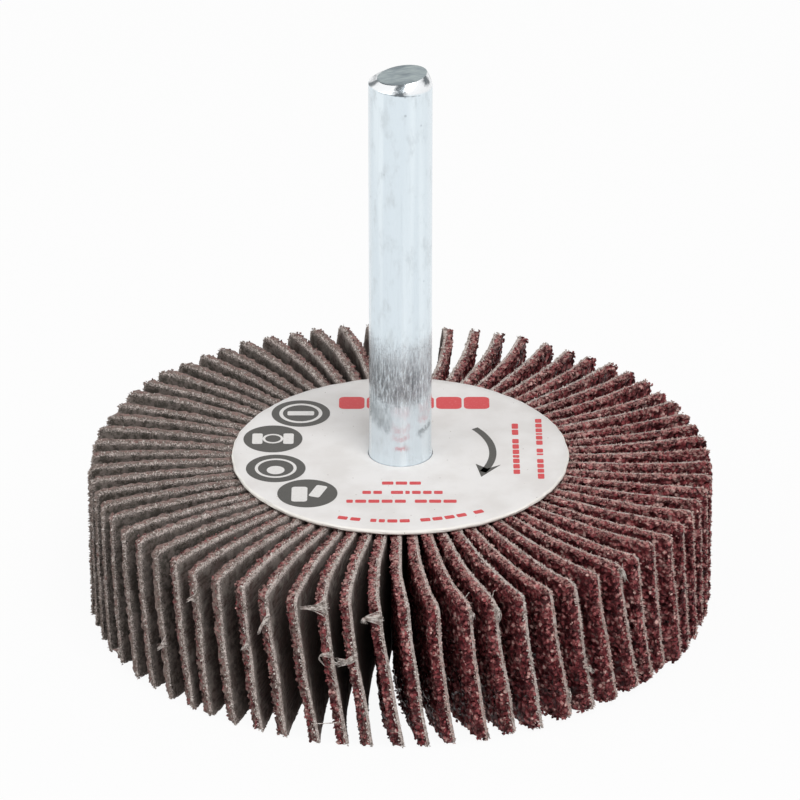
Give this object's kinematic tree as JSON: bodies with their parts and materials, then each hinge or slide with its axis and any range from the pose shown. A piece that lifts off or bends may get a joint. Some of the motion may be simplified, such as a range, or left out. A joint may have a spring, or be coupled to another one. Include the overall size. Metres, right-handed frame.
{
  "type": "flap wheel",
  "caption": "Spindle-mounted flap wheel: radial abrasive cloth flaps set in a cast core on a plain round shank, with a card disc over the flap roots.",
  "frame": {"origin": "on the spin axis, on the plane that the lower edges of the flaps stand on", "axes": "+Z along the spin axis towards the spindle's free end; -Y towards the viewer of the picture, +X to that viewer's right"},
  "size_m": [0.06, 0.06, 0.0551],
  "materials": {
    "zinc_plated_steel": "satin",
    "cast_resin": "satin",
    "label_card": "matte",
    "abrasive_cloth": "matte"
  },
  "bodies": {
    "root": {"flap_pair_01": "abrasive_cloth", "flap_pair_02": "abrasive_cloth", "flap_pair_03": "abrasive_cloth", "flap_pair_04": "abrasive_cloth", "flap_pair_05": "abrasive_cloth", "flap_pair_06": "abrasive_cloth", "flap_pair_07": "abrasive_cloth", "flap_pair_08": "abrasive_cloth", "flap_pair_09": "abrasive_cloth", "flap_pair_10": "abrasive_cloth", "flap_pair_11": "abrasive_cloth", "flap_pair_12": "abrasive_cloth", "flap_pair_13": "abrasive_cloth", "flap_pair_14": "abrasive_cloth", "flap_pair_15": "abrasive_cloth", "flap_pair_16": "abrasive_cloth", "flap_pair_17": "abrasive_cloth", "flap_pair_18": "abrasive_cloth", "flap_pair_19": "abrasive_cloth", "flap_pair_20": "abrasive_cloth", "flap_pair_21": "abrasive_cloth", "flap_pair_22": "abrasive_cloth", "flap_pair_23": "abrasive_cloth", "flap_pair_24": "abrasive_cloth", "flap_pair_25": "abrasive_cloth", "flap_pair_26": "abrasive_cloth", "flap_pair_27": "abrasive_cloth", "flap_pair_28": "abrasive_cloth", "flap_pair_29": "abrasive_cloth", "flap_pair_30": "abrasive_cloth", "flap_pair_31": "abrasive_cloth", "flap_pair_32": "abrasive_cloth", "flap_pair_33": "abrasive_cloth", "flap_pair_34": "abrasive_cloth", "flap_pair_35": "abrasive_cloth", "label_disc": "label_card", "resin_core": "cast_resin", "spindle": "zinc_plated_steel"}
  },
  "joints": []
}
